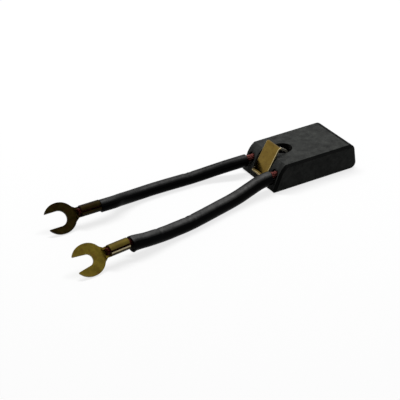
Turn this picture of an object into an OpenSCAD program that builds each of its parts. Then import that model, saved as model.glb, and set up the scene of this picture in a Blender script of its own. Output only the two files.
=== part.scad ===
// Carbon brush with a brass clip on its rounded lead end and two sleeved copper
// leads, each crimped into an open fork terminal.
//
// The block lies on its broad face. X runs along its length with the contact end at
// +X and the leads leaving towards -X, Y runs across its width and Z is up. The
// origin is at the centre of the block, on the surface that it lies on.

/* [Block] */
// Length of the block, from the heel of the lead end to the contact face
block_length = 38.6; // [32:0.1:46]
// Width of the block
block_width = 25; // [24.5:0.1:30]
// Thickness of the block
block_thickness = 10.7; // [9.8:0.1:13]
// Chamfer round the edges of the near long side
near_chamfer = 1; // [0.3:0.1:1.2]
// Chamfer round the edges of the far long side
far_chamfer = 0.4; // [0.3:0.1:1.2]
// Lean of the contact face from square, in degrees, with its top edge set back
contact_lean = 5; // [0:0.5:10]
// Radius of the contact end's upper corner
contact_top_radius = 2.8; // [1.5:0.1:4]
// Radius of the contact end's lower corner
contact_bottom_radius = 2.4; // [1.5:0.1:4]

/* [Lead end] */
// Slope of the lead end's lower facet, in degrees from the base
nose_angle = 66; // [62:1:70]
// Height of the rounded stretch between that facet and the top face
nose_drop = 3.9; // [3.2:0.1:4.4]
// Radius of the rounded stretch
nose_radius = 8.7; // [8.5:0.1:12]
// Height of the small bevel at the heel
heel_rise = 0.8; // [0.4:0.1:1.2]
// Depth of the small bevel at the heel, along the block
heel_run = 0.5; // [0.3:0.1:1]

/* [Clip hole] */
// Diameter of the hole through the block that the clip hooks into
eye_d = 8.5; // [7:0.1:9]
// Distance of that hole's axis from the heel
eye_setback = 12.1; // [11.6:0.1:15]
// Distance of that hole's axis from the block's middle, towards the far lead
eye_shift = 1.2; // [0:0.1:1.5]

/* [Clip] */
// Width of the clip's strip
strip_width = 9; // [7.5:0.1:9.6]
// Thickness of the strip
strip_thickness = 0.8; // [0.5:0.1:1]
// Gap on each side between the strip and its seat
seat_clearance = 0.9; // [0.1:0.05:1.1]
// How far the strip stands up past the seat before it bends over
strip_overshoot = 4; // [3:0.1:5]
// Height of the lip at the strip's lower end above the base
lip_height = 3.4; // [2.8:0.1:4.5]
// Distance of the lip's tip inside the heel
lip_setback = 0.15; // [0:0.05:0.3]
// Width of the finger that hooks into the hole
finger_width = 0.9; // [0.6:0.1:1.6]
// Depth of the finger in the hole, below the top face
finger_depth = 4.4; // [3:0.1:6]
// Gap between the finger's corners and the wall of the hole
finger_clearance = 0.15; // [0.1:0.05:0.3]
// Radius of the strip's bend over the top, at mid thickness
crown_radius = 0.9; // [0.7:0.1:1.4]
// Height above the top face where the strip turns down into the hole
knee_rise = 0.4; // [0.2:0.1:1]
// Radius of the bend into the hole, at mid thickness
knee_radius = 1.6; // [1:0.1:2]
// Radius of the bend at the lip, at mid thickness
lip_radius = 0.9; // [0.6:0.1:1]

/* [Leads] */
// Distance between the two lead holes
lead_pitch = 17.4; // [17:0.1:18]
// Height of the lead holes above the base
lead_height = 6.1; // [5:0.1:6.5]
// Diameter of a lead hole
lead_hole_d = 4.6; // [4.2:0.1:5]
// Depth of a lead hole, from the sloping face
lead_hole_depth = 8; // [6:0.5:12]
// Diameter of the copper rope
rope_d = 2.8; // [2.4:0.1:3]
// Outer diameter of the far sleeve
far_sleeve_d = 5; // [4.4:0.1:5]
// Outer diameter of the near sleeve
near_sleeve_d = 5.6; // [4.4:0.1:5.6]
// Thickness of the sleeves' wall
sleeve_wall = 0.5; // [0.3:0.05:0.6]
// Gap between a sleeve's bore and the rope that it hangs on
sleeve_clearance = 0.1; // [0.05:0.05:0.2]
// Length of bare rope between the block and the far sleeve
far_bare_length = 2.4; // [1.6:0.1:2.8]
// Length of bare rope between the block and the near sleeve
near_bare_length = 1.8; // [1.8:0.1:2.8]
// Gap between the far sleeve's end and its barrel
far_end_gap = 0.2; // [0.1:0.1:1.6]
// Gap between the near sleeve's end and its barrel
near_end_gap = 1.3; // [0.1:0.1:2]
// Distance of the tamping's outer face inside the hole's mouth
tamping_recess = 1.5; // [1.2:0.1:2.5]
// Gap round the tamping, to the rope and to the block
tamping_clearance = 0.03; // [0.02:0.01:0.05]

/* [Fork terminals] */
// Thickness of the terminal's brass sheet
terminal_sheet = 0.8; // [0.5:0.1:0.9]
// Length of the crimped barrel
barrel_length = 7.9; // [6:0.1:9]
// Gap between the rope and the barrel
crimp_clearance = 0.05; // [0.03:0.01:0.08]
// Width of the seam along the barrel, at its outer edge
seam_width = 0.9; // [0.5:0.1:1.2]
// Roll of that seam from the top of the fork towards the near side, in degrees
seam_roll = 23; // [0:1:40]
// Length of rope that shows past the barrel
rope_protrusion = 0.9; // [0.5:0.1:1.3]
// Length of the trough between the barrel and the flat fork
trough_length = 1.6; // [1:0.1:2.2]
// Width of the neck where it meets the fork
neck_width = 5; // [4:0.1:5.4]
// Outer diameter of the fork, across its prongs
fork_d = 12.3; // [11.4:0.1:14]
// Straight stretch between the fork's round back and its round front
fork_stretch = 0.45; // [0.1:0.05:1]
// Width of the far fork's slot
far_slot = 6.2; // [5.3:0.1:6.5]
// Width of the near fork's slot at its round end
near_slot = 4.4; // [4.1:0.1:6.2]
// Angle at which each side of the near fork's slot flares out, in degrees
near_slot_flare = 8; // [0:1:10]
// Distance from the barrel's front to the middle of the fork's round back
fork_centre = 7.5; // [7.1:0.1:9]
// How far the centre of the slot's round end lies in front of that middle
slot_advance = 0.75; // [0.5:0.05:1.5]
// Distance from that middle to the prongs' tips
prong_reach = 5.6; // [4.6:0.1:5.8]
// Radius of the fillets between the neck and the fork
neck_fillet = 2; // [1:0.1:3]
// Roll of the terminals about their own axis, in degrees
terminal_roll = 48; // [0:1:60]

/* [Hidden] */
$fn = 48;

ARC_STEPS = 8;        // straight pieces in each arc of an outline
ROPE_SIDES = 8;       // sides of the swept rope
SLEEVE_SIDES = 12;    // sides of the swept sleeve
CUT = 0.5;            // how far a cutting shape runs past the face that it cuts
STRAIGHT_OUT = 3;     // straight stretch of rope outside its hole
STRAIGHT_IN = 2.5;    // straight stretch of rope before the barrel

GRAPHITE = [0.24, 0.25, 0.24];
BRASS = [0.72, 0.58, 0.16];
OLIVE_BRASS = [0.42, 0.37, 0.12];
COPPER = [0.62, 0.32, 0.26];
SLEEVE_BLACK = [0.07, 0.07, 0.08];
CEMENT = [0.16, 0.11, 0.10];

// Routes of the two leads, in millimetres: X from the mouth of the lead hole, Y from
// the hole's axis and Z above the base. Each drops out of its hole, lies on the
// surface and climbs into its barrel.
FAR_ROUTE = [
    [-7, 0.5, 5.4], [-12, 2.1, 4.4], [-17, 3.5, 3.4], [-22, 4.4, 2.7],
    [-28, 4.7, 2.55], [-35, 5, 2.55], [-42, 5.1, 2.55], [-48, 4.7, 2.7],
    [-53, 3.6, 3.3], [-57, 2.1, 4.2], [-60.5, 0.4, 5.1]
];
NEAR_ROUTE = [
    [-7, -0.4, 5], [-12, -1.3, 4.1], [-17, -2.5, 3.4], [-22, -3.6, 2.95],
    [-28, -5.1, 2.85], [-35, -7, 2.85], [-42, -8.7, 2.85], [-49, -9.9, 3],
    [-54, -11, 3.4], [-58.5, -12.1, 4.1], [-62.5, -12.9, 4.7]
];
FAR_END = [-66.8, -0.4];    // where the far barrel starts, from the hole's mouth
NEAR_END = [-69.8, -13.5];  // where the near barrel starts, from the hole's mouth
FAR_YAW = 180;              // heading of the far terminal
NEAR_YAW = 187;             // heading of the near terminal

// Block
heel_x = -block_length / 2;
facet_top = [
    heel_x + (block_thickness - nose_drop - heel_rise) / tan(nose_angle),
    block_thickness - nose_drop
];
nose_centre = facet_top + nose_radius * [sin(nose_angle), -cos(nose_angle)];
crest_angle = acos((block_thickness - nose_centre[1]) / nose_radius);
crest = nose_centre + nose_radius * [-sin(crest_angle), cos(crest_angle)];
eye_x = heel_x + eye_setback;

// Corners of the leaning contact face before rounding: the rounded foot just reaches
// the block's full length
contact_foot = [
    block_length / 2
        + contact_bottom_radius * ((1 + sin(contact_lean)) / cos(contact_lean) - 1),
    0
];
contact_top = contact_foot + block_thickness * [-tan(contact_lean), 1];

// Seat of the clip: the plane from the heel's upper edge to the crest
seat_foot = [heel_x, heel_rise];
seat_run = norm(crest - seat_foot);
seat_dir = (crest - seat_foot) / seat_run;
seat_out = [-seat_dir[1], seat_dir[0]];
seat_angle = atan2(seat_dir[1], seat_dir[0]);

// Leads and terminals
mouth_x = heel_x + (lead_height - heel_rise) / tan(nose_angle);
barrel_bore = rope_d + 2 * crimp_clearance;
barrel_d = barrel_bore + 2 * terminal_sheet;
fork_back = fork_centre - fork_d / 2;
terminal_z = fork_d / 2 * sin(terminal_roll) + barrel_d / 2 * cos(terminal_roll);

// ---- plane geometry -------------------------------------------------------------

// Points of an arc about a centre, from one angle to another
function arc(centre, radius, from, to) = [
    for (i = [0 : ARC_STEPS])
        let (a = from + (to - from) * i / ARC_STEPS)
        centre + radius * [cos(a), sin(a)]
];

function unit(v) = v / norm(v);

// Points of an arc that rounds the corner b of the path a-b-c
function fillet(a, b, c, radius) =
    let (
        to_a = unit(a - b),
        to_c = unit(c - b),
        half = acos(to_a * to_c) / 2,
        centre = b + unit(to_a + to_c) * radius / sin(half),
        start = b + to_a * radius / tan(half) - centre,
        end = b + to_c * radius / tan(half) - centre,
        from = atan2(start[1], start[0]),
        turn = atan2(end[1], end[0]) - from,
        sweep = turn > 180 ? turn - 360 : turn < -180 ? turn + 360 : turn
    )
    arc(centre, radius, from, from + sweep);

// Outline of a strip of even thickness whose middle follows a path
function ribbon(path, thickness) =
    let (
        last = len(path) - 1,
        sides = [
            for (i = [0 : last])
                let (
                    before = unit(path[max(i, 1)] - path[max(i, 1) - 1]),
                    after = unit(path[min(i, last - 1) + 1] - path[min(i, last - 1)]),
                    along = unit(before + after)
                )
                [-along[1], along[0]] * thickness / 2 / (along * before)
        ]
    )
    concat(
        [for (i = [0 : last]) path[i] + sides[i]],
        [for (i = [last : -1 : 0]) path[i] - sides[i]]
    );

// Stands an XZ outline up and runs it across Y, between two places
module across_between(near, far)
    translate([0, far, 0]) rotate([90, 0, 0]) linear_extrude(far - near) children();

// Stands an XZ outline up and gives it a width, half on each side of the middle
module across(width) across_between(-width / 2, width / 2) children();

// ---- swept cords ----------------------------------------------------------------

// Ring of points round one point of a path, square to the path there
function ring(path, i, diameter, sides) =
    let (
        last = len(path) - 1,
        before = unit(path[max(i, 1)] - path[max(i, 1) - 1]),
        after = unit(path[min(i, last - 1) + 1] - path[min(i, last - 1)]),
        along = unit(before + after),
        level = unit(cross([0, 0, 1], along)),
        up = cross(along, level)
    )
    [
        for (k = [0 : sides - 1])
            let (a = 90 + 360 * k / sides)
            path[i] + diameter / 2 * (cos(a) * level + sin(a) * up)
    ];

function all_rings(path, diameter, sides) =
    [for (i = [0 : len(path) - 1]) each ring(path, i, diameter, sides)];

// Solid round cord along a path
module cord(path, diameter, sides) {
    count = len(path);
    wall = [
        for (i = [0 : count - 2], k = [0 : sides - 1])
            let (next = (k + 1) % sides)
            [i * sides + k, i * sides + next, (i + 1) * sides + next, (i + 1) * sides + k]
    ];
    start = [for (k = [sides - 1 : -1 : 0]) k];
    end = [for (k = [0 : sides - 1]) (count - 1) * sides + k];
    polyhedron(all_rings(path, diameter, sides), concat(wall, [start, end]), convexity = 6);
}

// Hollow sleeve along a path
module hose(path, outer, bore, sides) {
    count = len(path);
    inner = count * sides;
    walls = [
        for (i = [0 : count - 2], k = [0 : sides - 1])
            let (
                next = (k + 1) % sides,
                a = i * sides + k,
                b = i * sides + next,
                c = (i + 1) * sides + next,
                d = (i + 1) * sides + k
            )
            each [[a, b, c, d], [inner + d, inner + c, inner + b, inner + a]]
    ];
    ends = [
        for (k = [0 : sides - 1])
            let (next = (k + 1) % sides, far = (count - 1) * sides)
            each [
                [k, inner + k, inner + next, next],
                [far + k, far + next, inner + far + next, inner + far + k]
            ]
    ];
    polyhedron(
        concat(all_rings(path, outer, sides), all_rings(path, bore, sides)),
        concat(walls, ends), convexity = 8);
}

// ---- block ----------------------------------------------------------------------

// Side view of the block, from the heel round to the foot of the contact end
block_outline = concat(
    [[heel_x + heel_run, 0], seat_foot],
    arc(nose_centre, nose_radius, 90 + nose_angle, 90 + crest_angle),
    fillet(crest, contact_top, contact_foot, contact_top_radius),
    fillet(contact_top, contact_foot, [heel_x, 0], contact_bottom_radius)
);

module chamfered_block() {
    half = block_width / 2;
    hull() {
        across_between(near_chamfer - half, half - far_chamfer) polygon(block_outline);
        across_between(-half, 0) offset(delta = -near_chamfer) polygon(block_outline);
        across_between(0, half) offset(delta = -far_chamfer) polygon(block_outline);
    }
}

// Everything outside the clip's seat plane, as wide as the seat
module seat_cut()
    translate([seat_foot[0], 0, seat_foot[1]])
        rotate([0, -seat_angle, 0])
            translate([-seat_run / 2, -strip_width / 2 - seat_clearance, 0])
                cube([2 * seat_run, strip_width + 2 * seat_clearance, block_thickness]);

// Straight hole into the lead end, on one side of the middle
module lead_hole(side)
    translate([mouth_x + lead_hole_depth, side * lead_pitch / 2, lead_height])
        rotate([0, -90, 0]) cylinder(d = lead_hole_d, h = lead_hole_depth + block_thickness);

module carbon_block()
    color(GRAPHITE)
        difference() {
            chamfered_block();
            seat_cut();
            translate([eye_x, eye_shift, -CUT])
                cylinder(d = eye_d, h = block_thickness + 2 * CUT);
            for (side = [-1, 1]) lead_hole(side);
        }

// ---- clip -----------------------------------------------------------------------

function on_seat(along, out) = seat_foot + along * seat_dir + out * seat_out;

// Middle of the strip: lip, seat, crown over the top, arch to the hole, finger
lip_tip = [heel_x + lip_setback, lip_height];
lip_corner = on_seat(
    (lip_height - heel_rise - strip_thickness / 2 * seat_out[1]) / seat_dir[1],
    strip_thickness / 2);
crown = on_seat(seat_run + strip_overshoot, strip_thickness / 2);
knee = [eye_x, block_thickness + knee_rise];
finger_tip = [knee[0], block_thickness - finger_depth];
strip_path = concat(
    [lip_tip],
    fillet(lip_tip, lip_corner, crown, lip_radius),
    fillet(lip_corner, crown, knee, crown_radius),
    fillet(crown, knee, finger_tip, knee_radius),
    [finger_tip]
);

// Where the finger passes the near side of the hole's wall
finger_y = eye_shift
    - sqrt(pow(eye_d / 2 - finger_clearance, 2) - pow(strip_thickness / 2, 2));

// Plan view of the strip, whose near edge runs on past the crown as a narrow finger
module strip_plan() {
    plate_end = crown[0] + strip_thickness / 2;
    drop_x = knee[0] - strip_thickness / 2;
    far_x = eye_x + eye_d;
    half = strip_width / 2;
    polygon([
        [heel_x - block_width, -half], [plate_end, -half],
        [drop_x, finger_y], [far_x, finger_y],
        [far_x, finger_y + finger_width], [drop_x, finger_y + finger_width],
        [plate_end, finger_width - half], [plate_end, half],
        [heel_x - block_width, half]
    ]);
}

module wear_clip()
    color(BRASS)
        intersection() {
            across(strip_width) polygon(ribbon(strip_path, strip_thickness));
            linear_extrude(2 * block_thickness) strip_plan();
        }

// ---- leads ----------------------------------------------------------------------

function mouth(side) = [mouth_x, side * lead_pitch / 2, lead_height];
function heading(yaw) = [cos(yaw), sin(yaw), 0];

// Where a terminal's barrel starts, on its own axis
function barrel_start(side, end) =
    [mouth_x + end[0], side * lead_pitch / 2 + end[1], terminal_z];

// The stretch of a lead between its hole and its barrel, from a distance outside the
// hole to a gap before the barrel
function free_run(side, route, end, yaw, from, gap) = concat(
    [mouth(side) - [from, 0, 0], mouth(side) - [STRAIGHT_OUT, 0, 0]],
    [for (p = route) [mouth_x + p[0], side * lead_pitch / 2 + p[1], p[2]]],
    [
        barrel_start(side, end) - STRAIGHT_IN * heading(yaw),
        barrel_start(side, end) - gap * heading(yaw)
    ]
);

// Bore of a sleeve, and how far it hangs below the rope's axis at its ends
function sleeve_bore(diameter) = diameter - 2 * sleeve_wall;
function sleeve_sag(diameter) =
    (sleeve_bore(diameter) * cos(180 / SLEEVE_SIDES) - rope_d) / 2 - sleeve_clearance;

// Copper rope from the bottom of its hole to just past its barrel
module rope(side, route, end, yaw)
    color(COPPER)
        cord(
            concat(
                [mouth(side) + [lead_hole_depth - tamping_clearance, 0, 0]],
                free_run(side, route, end, yaw, 0, 0),
                [barrel_start(side, end) + (barrel_length + rope_protrusion) * heading(yaw)]
            ),
            rope_d, ROPE_SIDES);

// Sleeve that follows the rope, and hangs on it along the straight stretches at its ends
module sleeve(side, route, end, yaw, diameter, bare_length, end_gap) {
    run = free_run(side, route, end, yaw, bare_length, end_gap);
    last = len(run) - 1;
    path = [
        for (i = [0 : last])
            run[i] - (i < 2 || i > last - 2 ? [0, 0, sleeve_sag(diameter)] : [0, 0, 0])
    ];
    color(SLEEVE_BLACK) hose(path, diameter, sleeve_bore(diameter), SLEEVE_SIDES);
}

// Tamped ring that fixes a rope in its hole
module tamping(side)
    color(CEMENT)
        translate(mouth(side) + [tamping_recess, 0, 0])
            rotate([0, 90, 0])
                difference() {
                    cylinder(
                        d = lead_hole_d - 2 * tamping_clearance,
                        h = lead_hole_depth - tamping_recess - tamping_clearance);
                    translate([0, 0, -CUT])
                        cylinder(
                            d = rope_d + 2 * tamping_clearance,
                            h = lead_hole_depth + 2 * CUT);
                }

// ---- fork terminals -------------------------------------------------------------

// Cross-section of the crimped barrel: a tube rolled from the sheet, with an open seam
module barrel_section()
    difference() {
        circle(d = barrel_d);
        circle(d = barrel_bore);
        rotate(-seam_roll) polygon([
            [-seam_width / 6, 0], [seam_width / 6, 0],
            [seam_width / 2, barrel_d / 2 + CUT], [-seam_width / 2, barrel_d / 2 + CUT]
        ]);
    }

// Cross-section of the trough in front of the barrel: the rolled tube's lower part
module trough_section()
    difference() {
        circle(d = barrel_d);
        circle(d = barrel_bore);
        translate([-barrel_d, -barrel_d / 6]) square(2 * barrel_d);
    }

// Runs a section along +X, with the section's top up
module along_x(length) rotate([90, 0, 90]) linear_extrude(length) children();

// Flat outline of the neck and the fork's round part, before the slot is cut
module fork_outline()
    offset(r = -neck_fillet) offset(delta = neck_fillet) {
        translate([fork_centre, 0]) circle(d = fork_d);
        translate([fork_centre + fork_stretch, 0]) circle(d = fork_d);
        translate([fork_centre, -fork_d / 2]) square([fork_stretch, fork_d]);
        polygon([
            [0, -barrel_d / 3], [fork_back, -neck_width / 2], [fork_centre, -neck_width / 2],
            [fork_centre, neck_width / 2], [fork_back, neck_width / 2], [0, barrel_d / 3]
        ]);
    }

// Outline of the slot's open part, with sides that leave its round end smoothly
function slot_mouth(width, flare) =
    let (
        start = width / 2 * [-sin(flare), cos(flare)],
        end = start + fork_d * [1, tan(flare)]
    )
    [start, end, [end[0], -end[1]], [start[0], -start[1]]];

module fork_blade(slot, flare)
    difference() {
        linear_extrude(terminal_sheet) fork_outline();
        translate([fork_centre + slot_advance, 0, -CUT])
            cylinder(d = slot, h = terminal_sheet + 2 * CUT);
        translate([fork_centre + slot_advance, 0, -CUT])
            linear_extrude(terminal_sheet + 2 * CUT) polygon(slot_mouth(slot, flare));
        translate([fork_centre + prong_reach, -fork_d, -CUT])
            cube([fork_d, 2 * fork_d, terminal_sheet + 2 * CUT]);
    }

// Terminal with its barrel's axis on +X and its barrel's rear at the origin
module fork_terminal(slot, flare) {
    along_x(barrel_length) barrel_section();
    along_x(barrel_length + trough_length) trough_section();
    translate([barrel_length, 0, -barrel_d / 2]) fork_blade(slot, flare);
}

module terminal(side, end, yaw, slot, flare)
    color(OLIVE_BRASS)
        translate(barrel_start(side, end))
            rotate([0, 0, yaw]) rotate([-terminal_roll, 0, 0]) fork_terminal(slot, flare);

// ---- assembly -------------------------------------------------------------------

carbon_block();
wear_clip();
tamping(1);  // tamping_far
tamping(-1);  // tamping_near
rope(1, FAR_ROUTE, FAR_END, FAR_YAW);  // rope_far
rope(-1, NEAR_ROUTE, NEAR_END, NEAR_YAW);  // rope_near
sleeve(1, FAR_ROUTE, FAR_END, FAR_YAW, far_sleeve_d, far_bare_length, far_end_gap);  // sleeve_far
sleeve(  // sleeve_near
        -1, NEAR_ROUTE, NEAR_END, NEAR_YAW, near_sleeve_d, near_bare_length, near_end_gap);
terminal(1, FAR_END, FAR_YAW, far_slot, 0);  // terminal_far
terminal(-1, NEAR_END, NEAR_YAW, near_slot, near_slot_flare);  // terminal_near
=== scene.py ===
import math

import bmesh
import bpy
from mathutils import Matrix, Vector, noise


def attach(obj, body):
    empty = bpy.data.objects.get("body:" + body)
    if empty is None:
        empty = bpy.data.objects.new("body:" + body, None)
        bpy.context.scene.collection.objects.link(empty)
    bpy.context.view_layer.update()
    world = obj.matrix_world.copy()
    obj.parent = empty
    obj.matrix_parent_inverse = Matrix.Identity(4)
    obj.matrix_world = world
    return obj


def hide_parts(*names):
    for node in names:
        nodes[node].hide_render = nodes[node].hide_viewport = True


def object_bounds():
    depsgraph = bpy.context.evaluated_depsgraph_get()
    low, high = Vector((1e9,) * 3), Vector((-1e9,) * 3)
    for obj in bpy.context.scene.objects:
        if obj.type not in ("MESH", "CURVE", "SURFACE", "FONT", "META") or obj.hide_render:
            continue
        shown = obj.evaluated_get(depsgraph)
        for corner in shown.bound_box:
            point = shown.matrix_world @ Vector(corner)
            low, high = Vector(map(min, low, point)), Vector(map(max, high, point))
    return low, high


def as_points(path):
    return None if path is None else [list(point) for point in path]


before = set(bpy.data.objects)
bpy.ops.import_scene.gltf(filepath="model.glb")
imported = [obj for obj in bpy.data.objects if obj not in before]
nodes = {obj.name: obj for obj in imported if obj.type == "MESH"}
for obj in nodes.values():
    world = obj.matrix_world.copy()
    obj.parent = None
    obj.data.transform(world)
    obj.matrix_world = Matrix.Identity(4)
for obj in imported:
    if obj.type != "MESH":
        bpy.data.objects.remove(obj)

cad_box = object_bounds()
scene = bpy.context.scene
scene.view_settings.view_transform = "Standard"
MM = 0.001

# ---- camera ---------------------------------------------------------------------

CAMERA_AT = (-0.2435, -0.3896, 0.2510)                              # metres
CAMERA_AZIMUTH, CAMERA_HEIGHT, CAMERA_ROLL = -26.97, 29.87, -3.51   # degrees
LENS_MM, SENSOR_MM = 117.4, 36
CLIP_NEAR, CLIP_FAR = 0.01, 50                                      # metres


def make_camera():
    az, up_angle, roll = (math.radians(a) for a in (CAMERA_AZIMUTH, CAMERA_HEIGHT, CAMERA_ROLL))
    back = Vector((
        math.sin(az) * math.cos(up_angle),
        -math.cos(az) * math.cos(up_angle),
        math.sin(up_angle),
    ))
    right = Vector((math.cos(az), math.sin(az), 0))
    up = back.cross(right)
    tilted_right = math.cos(roll) * right + math.sin(roll) * up
    tilted_up = math.cos(roll) * up - math.sin(roll) * right
    data = bpy.data.cameras.new("camera")
    data.lens = LENS_MM
    data.sensor_width = SENSOR_MM
    data.clip_start, data.clip_end = CLIP_NEAR, CLIP_FAR
    camera = bpy.data.objects.new("camera", data)
    turn = Matrix((tilted_right, tilted_up, back)).transposed().to_4x4()
    camera.matrix_world = Matrix.Translation(CAMERA_AT) @ turn
    scene.collection.objects.link(camera)
    scene.camera = camera


make_camera()

# ---- material tools -------------------------------------------------------------

COLOUR_MIX = (0, 6, 7)      # factor and two colours: inputs of a Mix node that mixes colours
MIXED_COLOUR = 2            # its output


class Shader:
    """A new material with a Principled shader, and short calls to add nodes to it."""

    def __init__(self, name):
        self.material = bpy.data.materials.new(name)
        self.material.use_nodes = True
        self.tree = self.material.node_tree
        self.main = self.tree.nodes["Principled BSDF"]
        self.place = self.tree.nodes.new("ShaderNodeTexCoord").outputs["Object"]

    def add(self, kind, **values):
        """A node, with values for its settings and its inputs."""
        node = self.tree.nodes.new("ShaderNode" + kind)
        for key, value in values.items():
            if hasattr(node, key):
                setattr(node, key, value)
            else:
                node.inputs[key.replace("_", " ")].default_value = value
        return node

    def link(self, source, target):
        self.tree.links.new(source, target)

    def set(self, **values):
        """Values for the inputs of the Principled shader."""
        for key, value in values.items():
            self.main.inputs[key.replace("_", " ")].default_value = value

    def noise(self, per_mm, detail=4.0, roughness=0.55, stretch=None, offset=0.0):
        """Noise with so many features in a millimetre, stretched along the axes."""
        node = self.add("TexNoise", Scale=per_mm / MM, Detail=detail, Roughness=roughness)
        source = self.place
        if stretch or offset:
            mapping = self.add("Mapping")
            mapping.inputs["Scale"].default_value = stretch or (1, 1, 1)
            mapping.inputs["Location"].default_value = (offset, offset, offset)
            self.link(source, mapping.inputs["Vector"])
            source = mapping.outputs["Vector"]
        self.link(source, node.inputs["Vector"])
        return node.outputs["Fac"]

    def ramp(self, source, *stops):
        """Colour ramp from (position, grey or colour) stops."""
        node = self.add("ValToRGB")
        elements = node.color_ramp.elements
        while len(elements) < len(stops):
            elements.new(0.5)
        for element, (position, value) in zip(elements, stops):
            element.position = position
            rgb = (value,) * 3 if isinstance(value, (int, float)) else value
            element.color = (*rgb, 1)
        self.link(source, node.inputs["Fac"])
        return node.outputs["Color"]

    def mix(self, factor, first, second, blend="MIX"):
        """Two colours mixed; each of the three can be a value or another node's output."""
        node = self.add("Mix", data_type="RGBA", blend_type=blend)
        for socket, value in zip(COLOUR_MIX, (factor, first, second)):
            target = node.inputs[socket]
            if isinstance(value, bpy.types.NodeSocket):
                self.link(value, target)
            else:
                target.default_value = value if socket == 0 else (*value, 1)
        return node.outputs[MIXED_COLOUR]

    def colour(self, source):
        self.link(source, self.main.inputs["Base Color"])

    def rough(self, source, low, high):
        """Roughness from low to high, as the source goes from 0 to 1."""
        spread = self.add("MapRange", To_Min=low, To_Max=high)
        self.link(source, spread.inputs["Value"])
        self.link(spread.outputs["Result"], self.main.inputs["Roughness"])

    def bump(self, *layers):
        """Stacked bumps from (height source, strength, depth in mm)."""
        before = None
        for source, strength, depth in layers:
            node = self.add("Bump", Strength=strength, Distance=depth * MM)
            self.link(source, node.inputs["Height"])
            if before:
                self.link(before, node.inputs["Normal"])
            before = node.outputs["Normal"]
        self.link(before, self.main.inputs["Normal"])


# ---- materials ------------------------------------------------------------------


def graphite(name, dark, light, rough_low, rough_high):
    """Pressed graphite: cloudy grey with fine dark and light grains and tiny pores."""
    s = Shader(name)
    cloud = s.noise(0.35, detail=6, roughness=0.7)
    grain = s.noise(5, detail=3, roughness=0.7, offset=0.3)
    base = s.ramp(cloud, (0.3, dark), (0.7, light))
    speckle = s.ramp(
        grain, (0.3, (0.72, 0.72, 0.74)), (0.5, (1, 1, 1)), (0.72, (1.3, 1.32, 1.28)))
    s.colour(s.mix(0.85, base, speckle, "MULTIPLY"))
    s.rough(cloud, rough_low, rough_high)
    pores = s.ramp(s.noise(2.6, detail=2, offset=0.7), (0.28, 0.0), (0.36, 1.0))
    s.bump((grain, 0.5, 0.03), (pores, 0.35, 0.03))
    s.set(Specular_IOR_Level=0.03)
    return s.material


def brass(name, dark, light, stain, stained, rough_low, rough_high):
    """Sheet brass with fine drawing lines, cloudy tarnish and darker stains."""
    s = Shader(name)
    cloud = s.noise(0.45, detail=5, roughness=0.65, offset=0.2)
    lines = s.noise(6, detail=3, roughness=0.6, stretch=(0.12, 1, 1))
    base = s.ramp(cloud, (0.32, dark), (0.68, light))
    blotches = s.noise(0.8, detail=6, roughness=0.7, offset=0.9)
    patches = s.ramp(blotches, (0.52, 0.0), (0.7, stained))
    s.colour(s.mix(patches, base, stain))
    s.rough(cloud, rough_low, rough_high)
    s.bump((lines, 0.25, 0.012), (cloud, 0.2, 0.05))
    s.set(Metallic=1.0)
    return s.material


TARNISH_FROM, TARNISH_FULL = -0.07, -0.08       # metres along X, near the terminals


def copper(name, dark, light, tarnish):
    """Fine copper wires, darker between them, tarnished at the terminals."""
    s = Shader(name)
    wires = s.add(
        "TexWave", wave_type="BANDS", bands_direction="DIAGONAL", Scale=1.0, Distortion=0.6)
    s.link(s.add("UVMap", uv_map="lay").outputs["UV"], wires.inputs["Vector"])
    ridge = wires.outputs["Fac"]
    cloud = s.noise(0.9, detail=5, roughness=0.7)
    base = s.ramp(cloud, (0.35, dark), (0.7, light))
    wired = s.mix(0.75, base, s.ramp(ridge, (0.0, 0.35), (0.6, 1.0)), "MULTIPLY")
    place = s.add("SeparateXYZ")
    s.link(s.place, place.inputs[0])
    heated = s.add("MapRange", From_Min=TARNISH_FROM, From_Max=TARNISH_FULL)
    s.link(place.outputs["X"], heated.inputs["Value"])
    s.colour(s.mix(heated.outputs["Result"], wired, tarnish))
    s.rough(cloud, 0.32, 0.5)
    s.bump((ridge, 0.7, 0.06))
    s.set(Metallic=1.0)
    return s.material


HIGHLIGHT_FACING = Vector((0, -0.3, 1)).normalized()      # the way that the painted highlight along the sleeves' top faces


def sleeve_rubber(name, shade, highlight_grey):
    """Black extruded sleeving with a soft gloss, faint scuffs, and a painted highlight along its
    top.
    """
    s = Shader(name)
    cloud = s.noise(0.25, detail=5, roughness=0.6)
    scuffs = s.noise(3, detail=4, roughness=0.7, stretch=(0.15, 1, 1), offset=0.4)
    base = s.ramp(cloud, (0.3, shade), (0.75, tuple(1.9 * c for c in shade)))
    paler = s.ramp(scuffs, (0.55, (1, 1, 1)), (0.8, (1.8, 1.8, 1.8)))
    body = s.mix(0.8, base, paler, "MULTIPLY")
    facing = s.add("VectorMath", operation="DOT_PRODUCT")
    s.link(s.add("NewGeometry").outputs["Normal"], facing.inputs[0])
    facing.inputs[1].default_value = HIGHLIGHT_FACING
    # painted highlight: patchy lighter grey where the surface faces up and a little to the near
    # side
    highlit = s.ramp(facing.outputs["Value"], (0.8, 0.0), (0.9, 0.3), (0.99, 1.0))
    blotches = s.noise(0.45, detail=6, roughness=0.75, offset=0.6)
    patchy = s.ramp(blotches, (0.32, 0.4), (0.62, 1.0))
    s.colour(s.mix(s.mix(1.0, highlit, patchy, "MULTIPLY"), body, highlight_grey))
    s.rough(scuffs, 0.2, 0.34)
    s.bump((scuffs, 0.12, 0.015), (cloud, 0.3, 0.14))
    s.set(Specular_IOR_Level=0.02)
    return s.material


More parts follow.
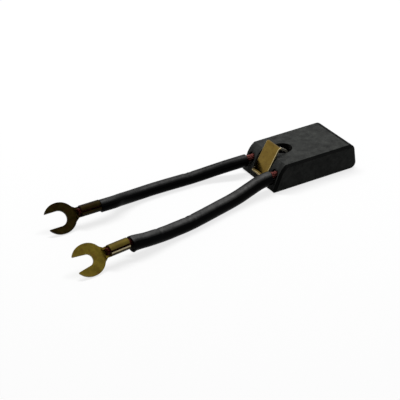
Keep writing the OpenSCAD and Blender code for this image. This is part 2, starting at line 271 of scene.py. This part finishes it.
def cement(name):
    """Tamped filling: coarse dark grains with a few coppery specks."""
    s = Shader(name)
    grain = s.noise(3.5, detail=4, roughness=0.7)
    s.colour(s.ramp(
        grain,
        (0.35, (0.006, 0.005, 0.005)), (0.6, (0.02, 0.014, 0.012)), (0.75, (0.07, 0.03, 0.02))))
    s.rough(grain, 0.6, 0.85)
    s.bump((grain, 0.8, 0.12))
    return s.material


# name, dark and light colour, and the lowest and highest roughness
GRAPHITE = graphite(
    "graphite", (0.014, 0.0145, 0.014), (0.052, 0.054, 0.051), 0.5, 0.66)
# painted shade: near-black graphite for the chamfers and the rounded top edge of the contact end
SHADED_GRAPHITE = graphite(
    "graphite_painted_shade", (0.0018, 0.0019, 0.0018), (0.005, 0.0052, 0.005), 0.55, 0.7)

# name, dark and light colour, stain and how strong it is, lowest and highest roughness
CLIP_BRASS = brass(
    "clip_brass",
    (0.12, 0.074, 0.012), (0.17, 0.112, 0.020), (0.07, 0.040, 0.010), 0.5, 0.12, 0.2)
# painted highlights: paler copies of the clip's brass for its sides, its rounded long edges and
# its finger
SIDE_HIGHLIGHT_BRASS = brass(
    "clip_brass_side_highlight",
    (0.16, 0.125, 0.06), (0.22, 0.185, 0.11), (0.08, 0.06, 0.03), 0.5, 0.35, 0.5)
EDGE_HIGHLIGHT_BRASS = brass(
    "clip_brass_edge_highlight",
    (0.34, 0.27, 0.13), (0.5, 0.42, 0.22), (0.2, 0.15, 0.07), 0.4, 0.25, 0.35)
FINGER_HIGHLIGHT_BRASS = brass(
    "clip_brass_finger_highlight",
    (0.34, 0.31, 0.24), (0.48, 0.45, 0.38), (0.3, 0.26, 0.18), 0.3, 0.25, 0.35)
NEAR_BRASS = brass(
    "terminal_brass_near",
    (0.072, 0.052, 0.007), (0.135, 0.100, 0.014), (0.085, 0.040, 0.011), 0.75, 0.3, 0.44)
# painted dark reflection: the far terminal, the same brass as the near one, near black
FAR_BRASS = brass(
    "terminal_brass_far",
    (0.006, 0.004, 0.001), (0.019, 0.014, 0.003), (0.02, 0.006, 0.003), 0.7, 0.34, 0.5)
# painted shade: the near barrel's brass darker than its blade's
NEAR_BARREL = brass(
    "barrel_brass_near",
    (0.05, 0.036, 0.007), (0.085, 0.064, 0.012), (0.05, 0.026, 0.008), 0.6, 0.55, 0.7)
# painted highlight: the pale band on the near barrel just below its seam
NEAR_LIP_HIGHLIGHT = brass(
    "barrel_lip_highlight_near",
    (0.26, 0.22, 0.13), (0.36, 0.31, 0.20), (0.12, 0.08, 0.03), 0.4, 0.3, 0.42)
# painted shade: the near barrel's near-black underside
NEAR_UNDER_SHADE = brass(
    "barrel_under_shade_near",
    (0.012, 0.008, 0.001), (0.03, 0.02, 0.003), (0.02, 0.008, 0.002), 0.6, 0.4, 0.55)
# painted dark reflection: the far terminal's barrel, as dark as its blade
FAR_BARREL = brass(
    "barrel_brass_far",
    (0.006, 0.004, 0.001), (0.013, 0.009, 0.002), (0.015, 0.005, 0.002), 0.7, 0.5, 0.65)

COPPER = copper("copper_rope", (0.035, 0.006, 0.005), (0.19, 0.060, 0.052), (0.026, 0.005, 0.004))
# last colour: grey of the painted highlight along each sleeve's top, dimmer on the far one
FAR_SLEEVE = sleeve_rubber("sleeve_black_far", (0.0006, 0.0006, 0.0007), (0.062, 0.062, 0.061))
NEAR_SLEEVE = sleeve_rubber("sleeve_black_near", (0.0006, 0.0006, 0.0007), (0.1, 0.1, 0.098))
CEMENT = cement("tamping")

# ---- leads ----------------------------------------------------------------------

# The same values as the part's source has, in millimetres and degrees
BLOCK_LENGTH, HEEL_RISE, NOSE_ANGLE = 38.6, 0.8, 66
LEAD_PITCH, LEAD_HEIGHT, LEAD_HOLE_DEPTH, TAMPING_CLEARANCE = 17.4, 6.1, 8, 0.03
ROPE_D, FAR_SLEEVE_D, NEAR_SLEEVE_D = 2.8, 5.0, 5.6
SLEEVE_WALL, SLEEVE_CLEARANCE, SOLID_SLEEVE_SIDES = 0.5, 0.1, 12
FAR_BARE, NEAR_BARE, FAR_END_GAP, NEAR_END_GAP = 2.4, 1.8, 0.2, 1.3
TERMINAL_SHEET, CRIMP_CLEARANCE, FORK_D, TERMINAL_ROLL = 0.8, 0.05, 12.3, 48
BARREL_LENGTH, ROPE_PROTRUSION, SEAM_ROLL = 7.9, 0.9, 23
FORK_CENTRE, PRONG_REACH = 7.5, 5.6
STRAIGHT_OUT, STRAIGHT_IN = 3, 2.5
FAR_ROUTE = [
    (-7, 0.5, 5.4), (-12, 2.1, 4.4), (-17, 3.5, 3.4), (-22, 4.4, 2.7),
    (-28, 4.7, 2.55), (-35, 5, 2.55), (-42, 5.1, 2.55), (-48, 4.7, 2.7),
    (-53, 3.6, 3.3), (-57, 2.1, 4.2), (-60.5, 0.4, 5.1),
]
NEAR_ROUTE = [
    (-7, -0.4, 5), (-12, -1.3, 4.1), (-17, -2.5, 3.4), (-22, -3.6, 2.95),
    (-28, -5.1, 2.85), (-35, -7, 2.85), (-42, -8.7, 2.85), (-49, -9.9, 3),
    (-54, -11, 3.4), (-58.5, -12.1, 4.1), (-62.5, -12.9, 4.7),
]
MOUTH_X = -BLOCK_LENGTH / 2 + (LEAD_HEIGHT - HEEL_RISE) / math.tan(math.radians(NOSE_ANGLE))
BARREL_D = ROPE_D + 2 * CRIMP_CLEARANCE + 2 * TERMINAL_SHEET
ROLL = math.radians(TERMINAL_ROLL)
TERMINAL_Z = FORK_D / 2 * math.sin(ROLL) + BARREL_D / 2 * math.cos(ROLL)


class Lead:
    """Route of one lead: its points in millimetres, and where they start and end."""

    def __init__(self, side, route, end, yaw):
        self.mouth = Vector((MOUTH_X, side * LEAD_PITCH / 2, LEAD_HEIGHT))
        self.end = Vector((MOUTH_X + end[0], side * LEAD_PITCH / 2 + end[1], TERMINAL_Z))
        yaw = math.radians(yaw)
        self.heading = Vector((math.cos(yaw), math.sin(yaw), 0))
        self.middle = [
            self.mouth + Vector((x, y, z - LEAD_HEIGHT)) for x, y, z in route
        ]

    def run(self, bare, gap, sag=0.0):
        """The free stretch from the block to the barrel, hung low at both ends."""
        drop = Vector((0, 0, sag))
        return [
            self.mouth - Vector((bare, 0, 0)) - drop,
            self.mouth - Vector((STRAIGHT_OUT, 0, 0)) - drop,
            *self.middle,
            self.end - STRAIGHT_IN * self.heading - drop,
            self.end - gap * self.heading - drop,
        ]

    def rope(self):
        """From the bottom of the hole in the block to the rope's end past the barrel."""
        return [
            self.mouth + Vector((LEAD_HOLE_DEPTH - TAMPING_CLEARANCE, 0, 0)),
            *self.run(0, 0),
            self.end + (BARREL_LENGTH + ROPE_PROTRUSION) * self.heading,
        ]


FAR = Lead(1, FAR_ROUTE, (-66.8, -0.4), 180)
NEAR = Lead(-1, NEAR_ROUTE, (-69.8, -13.5), 187)

CURVE_STEP = 0.1        # mm, how finely a curve is drawn before it is spaced evenly
TINY = 1e-9             # keeps a division clear of zero


def smooth(points, step):
    """Points every step along a smooth curve through the given ones."""
    fine = []
    for i in range(len(points) - 1):
        a, b = points[max(i - 1, 0)], points[i]
        c, d = points[i + 1], points[min(i + 2, len(points) - 1)]
        span = (c - b).length
        before = (c - a) * span / max((b - a).length + span, TINY)
        after = (d - b) * span / max((d - c).length + span, TINY)
        pieces = max(int(span / CURVE_STEP), 2)
        for k in range(pieces):
            t = k / pieces
            t2, t3 = t * t, t * t * t
            fine.append(
                (2 * t3 - 3 * t2 + 1) * b + (t3 - 2 * t2 + t) * before
                + (3 * t2 - 2 * t3) * c + (t3 - t2) * after)
    fine.append(points[-1].copy())
    length = lengths_along(fine)
    count = max(round(length[-1] / step), 2)
    even, j = [], 0
    for k in range(count + 1):
        want = length[-1] * k / count
        while j < len(fine) - 2 and length[j + 1] < want:
            j += 1
        share = (want - length[j]) / max(length[j + 1] - length[j], TINY)
        even.append(fine[j].lerp(fine[j + 1], min(max(share, 0), 1)))
    return even


def lengths_along(path):
    """Length of the path up to each of its points."""
    lengths = [0.0]
    for a, b in zip(path, path[1:]):
        lengths.append(lengths[-1] + (b - a).length)
    return lengths


def length_of(path):
    return lengths_along(path)[-1]


def axes(path):
    """At each point: along the path, level, and up, square to one another."""
    out = []
    last = len(path) - 1
    for i in range(last + 1):
        along = (path[min(i + 1, last)] - path[max(i - 1, 0)]).normalized()
        level = Vector((0, 0, 1)).cross(along).normalized()
        out.append((along, level, along.cross(level)))
    return out


def metres(path):
    return [p * MM for p in path]


def new_piece(name, bm, material, sharp_degrees):
    """A mesh piece in millimetres becomes an object in metres that rides on the part."""
    bmesh.ops.recalc_face_normals(bm, faces=bm.faces)
    bmesh.ops.scale(bm, vec=(MM, MM, MM), verts=bm.verts)
    mesh = bpy.data.meshes.new(name)
    bm.to_mesh(mesh)
    bm.free()
    mesh.shade_smooth()
    mesh.set_sharp_from_angle(angle=math.radians(sharp_degrees))
    mesh.materials.append(material)
    piece = bpy.data.objects.new(name, mesh)
    scene.collection.objects.link(piece)
    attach(piece, "root")
    return piece


def skin(bm, rings, uv=None, caps=True):
    """Walls between rings of points, and flat ends."""
    rows = [[bm.verts.new(p) for p in ring] for ring in rings]
    sides = len(rings[0])
    for i in range(len(rows) - 1):
        for k in range(sides):
            n = (k + 1) % sides
            face = bm.faces.new((rows[i][k], rows[i][n], rows[i + 1][n], rows[i + 1][k]))
            if uv:
                layer, place = uv
                corners = ((i, k), (i, k + 1), (i + 1, k + 1), (i + 1, k))
                for loop, corner in zip(face.loops, corners):
                    loop[layer].uv = place(*corner)
    if caps:
        bm.faces.new(reversed(rows[0]))
        bm.faces.new(rows[-1])
    return rows


STRANDS = 8
STRAND_LAY = 15.0       # mm of rope for one full turn of its strands
STRAND_SIDES = 8
STRAND_R = ROPE_D / 2 * math.sin(math.pi / STRANDS) / (1 + math.sin(math.pi / STRANDS))
STRAND_CENTRE_R = ROPE_D / 2 - STRAND_R
CORE_OVERLAP = 0.6      # of a strand's radius, how far the core reaches in between strands
LAY_ROUND = 5           # units of the UV map round a strand
LAY_PER_MM = 1.6        # and for each mm along it
ROPE_STEP = 0.5         # mm between rings
CORD_SHARP = 50         # degrees, edges that stay sharp on ropes and sleeves


def ring_round(centre, level, up, radius, start=0.0):
    """Points round a strand or the core."""
    return [
        centre + radius * (math.cos(a) * level + math.sin(a) * up)
        for a in (start + 2 * math.pi * k / STRAND_SIDES for k in range(STRAND_SIDES))
    ]


def make_rope(name, lead):
    """Strands laid round a core; their material finds its wires through the UV map."""
    path = smooth(lead.rope(), ROPE_STEP)
    frames = axes(path)
    run = lengths_along(path)
    bm = bmesh.new()
    layer = bm.loops.layers.uv.new("lay")

    def wires(i, k):
        return run[i] * LAY_PER_MM, k / STRAND_SIDES * LAY_ROUND

    for strand in range(STRANDS):
        spine = []
        for p, (_, level, up), s in zip(path, frames, run):
            turn = 2 * math.pi * (strand / STRANDS + s / STRAND_LAY)
            spine.append(p + STRAND_CENTRE_R * (math.cos(turn) * level + math.sin(turn) * up))
        rings = [
            ring_round(p, level, up, STRAND_R, 2 * math.pi * s / STRAND_LAY)
            for p, (_, level, up), s in zip(spine, axes(spine), run)
        ]
        skin(bm, rings, (layer, wires))
    core = STRAND_CENTRE_R - CORE_OVERLAP * STRAND_R
    rings = [ring_round(p, level, up, core) for p, (_, level, up) in zip(path, frames)]
    skin(bm, rings, (layer, wires))
    return new_piece(name, bm, COPPER, CORD_SHARP), path


SLEEVE_SIDES = 36
SLEEVE_STEP = 0.4       # mm between rings
SLEEVE_EDGE = 0.12      # mm, bevel round the mouths of a sleeve
FLARE_LENGTH = 6.0      # mm of a sleeve's end that widens
FLARE_CURVE = 1.5       # above 1: the widening starts gently
CREASE_WIDTH, CREASE_DEPTH = 0.7, 0.16  # mm
DENT_DEPTH = 0.05       # mm, soft unevenness of extruded sleeving, none of it outwards
DENTS_ALONG, DENTS_ROUND = 0.11, 1.3    # step through the noise per ring, radius in it


def make_sleeve(name, lead, diameter, bare, gap, rubber, seed, flare, creases):
    """A sleeve that may widen downwards at the terminal, with small creases across its top."""
    bore = diameter - 2 * SLEEVE_WALL
    sag = (bore * math.cos(math.pi / SOLID_SLEEVE_SIDES) - ROPE_D) / 2 - SLEEVE_CLEARANCE
    path = smooth(lead.run(bare, gap, sag), SLEEVE_STEP)
    length = length_of(path)
    frames = axes(path)
    outer, inner = [], []
    last = len(path) - 1
    for i, (p, (_, level, up)) in enumerate(zip(path, frames)):
        out_ring, in_ring = [], []
        run = length * i / last
        swell = flare * max(0.0, 1 - (length - run) / FLARE_LENGTH) ** FLARE_CURVE
        crease = sum(math.exp(-((run - at * length) / CREASE_WIDTH) ** 2) for at in creases)
        for k in range(SLEEVE_SIDES):
            a = 2 * math.pi * k / SLEEVE_SIDES
            way = math.cos(a) * level + math.sin(a) * up
            dent = noise.noise(Vector((
                DENTS_ALONG * i + seed, DENTS_ROUND * math.cos(a), DENTS_ROUND * math.sin(a))))
            wider = swell * (1 - math.sin(a)) / 2
            radius = diameter / 2 - DENT_DEPTH * (0.5 + 0.5 * dent) + wider
            radius -= CREASE_DEPTH * crease * max(0.0, math.sin(a))
            out_ring.append(p + radius * way)
            in_ring.append(p + (bore / 2 + wider) * way)
        outer.append(out_ring)
        inner.append(in_ring)
    lips = []
    for i, inward in ((0, 1), (last, -1)):
        along = frames[i][0] * inward
        lips.append([p.lerp(q, SLEEVE_EDGE / SLEEVE_WALL) for p, q in zip(outer[i], inner[i])])
        outer[i] = [p + along * SLEEVE_EDGE for p in outer[i]]
    bm = bmesh.new()
    rows = skin(bm, [lips[0], *outer, lips[1], *reversed(inner)], caps=False)
    for k in range(SLEEVE_SIDES):
        n = (k + 1) % SLEEVE_SIDES
        bm.faces.new((rows[-1][k], rows[-1][n], rows[0][n], rows[0][k]))
    return new_piece(name, bm, rubber, CORD_SHARP), path


# ---- solid pieces ---------------------------------------------------------------

WELD = 0.0005           # mm, corners closer than this are one
FLAT = 0.4              # degrees, faces that meet at less are one face
SOLID_SHARP = 30        # degrees, edges that stay sharp in the shading
FULL_WEIGHT = 100       # large faces set the shading at an edge, not narrow ones


def detailed(
        node, name, materials, pick, rounded, radius, segments=3, profile=0.5,
        clamp=True):
    """The node's shape with some edges rounded, and a material for each face from pick.

    The new faces on the rounded edges get the last of the materials. Where clamp is on,
    short edges nearby make the rounding smaller than radius.
    """
    bm = bmesh.new()
    bm.from_mesh(nodes[node].data)
    bmesh.ops.scale(bm, vec=(1 / MM,) * 3, verts=bm.verts)
    bmesh.ops.remove_doubles(bm, verts=bm.verts, dist=WELD)
    bmesh.ops.dissolve_limit(
        bm, angle_limit=math.radians(FLAT), verts=bm.verts, edges=bm.edges)
    for face in bm.faces:
        face.material_index = pick(face)
    bmesh.ops.bevel(
        bm, geom=[e for e in bm.edges if rounded(e)], offset=radius, offset_type="OFFSET",
        segments=segments, profile=profile, affect="EDGES", clamp_overlap=clamp,
        material=len(materials) - 1)
    bmesh.ops.remove_doubles(bm, verts=bm.verts, dist=WELD)
    piece = new_piece(name, bm, materials[0], SOLID_SHARP)
    for material in materials[1:]:
        piece.data.materials.append(material)
    even = piece.modifiers.new("even_shading", "WEIGHTED_NORMAL")
    even.keep_sharp = True
    even.weight = FULL_WEIGHT
    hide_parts(node)
    return piece


# ---- terminals ------------------------------------------------------------------

PRONG_ROUNDING = 0.4    # mm at most, for the edges that cross a prong's end
PRONG_END = 0.5         # mm, how far such an edge may lie from the tip
CROSSWISE = 0.98        # cosine of the angle to the prong's width, for such an edge
PRONG_CORNER = 0.4      # radians, how sharp such an edge is at least
# degrees round a barrel, from its outer side upwards
SEAM_AT = 90 - SEAM_ROLL - TERMINAL_ROLL
LIP_FROM, LIP_TO = SEAM_AT - 24, SEAM_AT - 9
UNDER_FROM = -120


def make_fork(node, name, lead, brass_of):
    """A terminal whose blade, barrel, seam lip and underside each take a material from brass_of:
    paler brass on the lip is a painted highlight, darker brass on the barrel and underside
    painted shade.
    """
    outward = Vector((0, 0, 1)).cross(lead.heading)

    def pick(face):
        centre = face.calc_center_median() - lead.end
        along = centre.dot(lead.heading)
        n = face.normal
        if not 0 <= along <= BARREL_LENGTH or n.dot(centre - along * lead.heading) <= 0:
            return 0
        round_it = math.degrees(math.atan2(n.z, n.dot(outward)))
        # the lip band takes a painted highlight, the underside up to the seam painted shade
        if LIP_FROM < round_it < LIP_TO:
            return 2
        return 3 if UNDER_FROM < round_it < SEAM_AT else 1

    def prong_end(edge):
        a, b = (v.co - lead.end for v in edge.verts)
        reach = BARREL_LENGTH + FORK_CENTRE + PRONG_REACH - PRONG_END
        if min(a.dot(lead.heading), b.dot(lead.heading)) < reach:
            return False
        width = math.sin(ROLL) * outward + Vector((0, 0, math.cos(ROLL)))
        crosswise = abs((b - a).normalized().dot(width)) > CROSSWISE
        return crosswise and edge.calc_face_angle(0) > PRONG_CORNER

    return detailed(
        node, name, (*brass_of, brass_of[0]), pick, prong_end,
        PRONG_ROUNDING)


FORKS = {
    "far": make_fork(
        "terminal_far", "fork_far", FAR, (FAR_BRASS, FAR_BARREL, FAR_BRASS, FAR_BARREL)),
    "near": make_fork(
        "terminal_near", "fork_near", NEAR, (NEAR_BRASS, NEAR_BARREL, NEAR_LIP_HIGHLIGHT, NEAR_UNDER_SHADE)),
}

# ---- ropes and sleeves ----------------------------------------------------------

# name, lead, then for its sleeve: diameter, bare rope before it and gap after it, rubber,
# seed of its dents, flare in mm, and where its creases are, as shares of its length
for name, lead, diameter, bare, gap, rubber, seed, flare, creases in (
    ("far", FAR, FAR_SLEEVE_D, FAR_BARE, FAR_END_GAP, FAR_SLEEVE,
     3.1, 0.0, (0.35, 0.38)),
    ("near", NEAR, NEAR_SLEEVE_D, NEAR_BARE, NEAR_END_GAP, NEAR_SLEEVE,
     8.4, 0.6, (0.58, 0.62, 0.82)),
):
    rope, rope_path = make_rope("copper_rope_" + name, lead)
    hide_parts("rope_" + name)
    length_of(rope_path) * MM
    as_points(metres(rope_path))
    tube, tube_path = make_sleeve(
        "sleeving_" + name, lead, diameter, bare, gap, rubber, seed, flare, creases)
    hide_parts("sleeve_" + name)
    length_of(tube_path) * MM
    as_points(metres(tube_path))

# ---- block, clip and tampings ---------------------------------------------------

BLOCK_BEVEL = 0.12      # mm at most
BLOCK_CORNER = 25       # degrees, how sharp a bevelled edge of the block is at least
STRIP_WIDTH, STRIP_ROUNDING = 9, 0.2    # mm
SIDE_BAND = 0.1         # mm, edges so near to the strip's side belong to it
STRIP_CORNER = 1.0      # radians, how sharp the edges along the strip's sides are at least
FINGER_X = -11.1        # mm, the strip is narrowed to its finger from there on


# the chamfers and the contact end's rounded top edge take the painted-shade graphite
def pick_block(face):
    n = face.normal
    chamfer = 0.3 < abs(n.y) < 0.9
    contact_corner = n.x > 0.05 and n.z > 0.25
    return 1 if chamfer or contact_corner else 0


def block_corner(edge):
    return len(edge.link_faces) == 2 and edge.calc_face_angle(0) > math.radians(BLOCK_CORNER)


def strip_side(edge):
    at_side = all(abs(v.co.y) > STRIP_WIDTH / 2 - SIDE_BAND for v in edge.verts)
    return at_side and edge.calc_face_angle(0) > STRIP_CORNER


# the finger and the strip's sides take paler brass as painted highlight
def pick_clip(face):
    if all(v.co.x > FINGER_X for v in face.verts):
        return 2
    cut_side = abs(face.normal.y) > 0.9
    return 1 if cut_side else 0


detailed(
    "carbon_block", "graphite_block", (GRAPHITE, SHADED_GRAPHITE, GRAPHITE), pick_block,
    block_corner, BLOCK_BEVEL, segments=2, profile=0.6)
detailed(
    "wear_clip", "clip_strip",
    (CLIP_BRASS, SIDE_HIGHLIGHT_BRASS, FINGER_HIGHLIGHT_BRASS, EDGE_HIGHLIGHT_BRASS), pick_clip, strip_side,
    STRIP_ROUNDING, clamp=False)
for node in ("tamping_far", "tamping_near"):
    mesh = nodes[node].data
    mesh.materials.clear()
    mesh.materials.append(CEMENT)

# ---- floor and light ------------------------------------------------------------

FLOOR_HALF = 3.0                # metres
FLOOR_DROP = 0.00002            # metres below the part, so that the two never coincide
FLOOR_LIT, FLOOR_SEEN = 0.15, 0.97      # its grey for light that bounces, and to the eye
FLOOR_GLOW = 0.78               # share of plain white in the floor as seen
WHITE = 1.0                     # strength of the world as seen
AMBIENT = 0.22                  # strength of the world as light


def seen(tree):
    """1 where the camera, a reflection or a clear material sees the surface itself."""
    path = tree.nodes.new("ShaderNodeLightPath")
    first = tree.nodes.new("ShaderNodeMath")
    first.operation = "MAXIMUM"
    tree.links.new(path.outputs["Is Camera Ray"], first.inputs[0])
    tree.links.new(path.outputs["Is Glossy Ray"], first.inputs[1])
    second = tree.nodes.new("ShaderNodeMath")
    second.operation = "MAXIMUM"
    tree.links.new(first.outputs[0], second.inputs[0])
    tree.links.new(path.outputs["Is Transmission Ray"], second.inputs[1])
    return second.outputs[0]


def make_floor():
    bm = bmesh.new()
    bmesh.ops.create_grid(bm, x_segments=1, y_segments=1, size=FLOOR_HALF)
    mesh = bpy.data.meshes.new("floor")
    bm.to_mesh(mesh)
    bm.free()
    material = bpy.data.materials.new("floor")
    material.use_nodes = True
    tree = material.node_tree
    visible = seen(tree)
    main = tree.nodes["Principled BSDF"]
    main.inputs["Roughness"].default_value = 0.9
    main.inputs["Specular IOR Level"].default_value = 0.0
    mix = tree.nodes.new("ShaderNodeMix")
    mix.data_type = "RGBA"
    factor, lit, eye = COLOUR_MIX
    mix.inputs[lit].default_value = (FLOOR_LIT, FLOOR_LIT, FLOOR_LIT, 1)
    mix.inputs[eye].default_value = (FLOOR_SEEN, FLOOR_SEEN, FLOOR_SEEN, 1)
    tree.links.new(visible, mix.inputs[factor])
    tree.links.new(mix.outputs[MIXED_COLOUR], main.inputs["Base Color"])
    glow = tree.nodes.new("ShaderNodeEmission")
    glow.inputs["Color"].default_value = (1, 1, 1, 1)
    share = tree.nodes.new("ShaderNodeMath")
    share.operation = "MULTIPLY"
    share.inputs[1].default_value = FLOOR_GLOW
    tree.links.new(visible, share.inputs[0])
    blend = tree.nodes.new("ShaderNodeMixShader")
    tree.links.new(share.outputs[0], blend.inputs[0])
    tree.links.new(main.outputs[0], blend.inputs[1])
    tree.links.new(glow.outputs[0], blend.inputs[2])
    tree.links.new(blend.outputs[0], tree.nodes["Material Output"].inputs["Surface"])
    mesh.materials.append(material)
    floor = bpy.data.objects.new("floor", mesh)
    floor.location.z = cad_box[0][2] - FLOOR_DROP
    scene.collection.objects.link(floor)


def make_world():
    world = bpy.data.worlds.new("studio")
    scene.world = world
    world.use_nodes = True
    tree = world.node_tree
    background = tree.nodes["Background"]
    background.inputs["Color"].default_value = (1, 1, 1, 1)
    spread = tree.nodes.new("ShaderNodeMapRange")
    spread.inputs["To Min"].default_value = AMBIENT
    spread.inputs["To Max"].default_value = WHITE
    tree.links.new(seen(tree), spread.inputs["Value"])
    tree.links.new(spread.outputs["Result"], background.inputs["Strength"])


def make_lamp(name, at, aim, size, watts):
    data = bpy.data.lights.new(name, "AREA")
    data.shape = "RECTANGLE"
    data.size, data.size_y = size
    data.energy = watts
    lamp = bpy.data.objects.new(name, data)
    lamp.location = at
    lamp.rotation_euler = (Vector(aim) - Vector(at)).to_track_quat("-Z", "Y").to_euler()
    scene.collection.objects.link(lamp)


make_floor()
make_world()
make_lamp("overhead", at=(0.13, 0.24, 0.8), aim=(-0.05, 0, 0), size=(0.8, 0.12), watts=7.0)
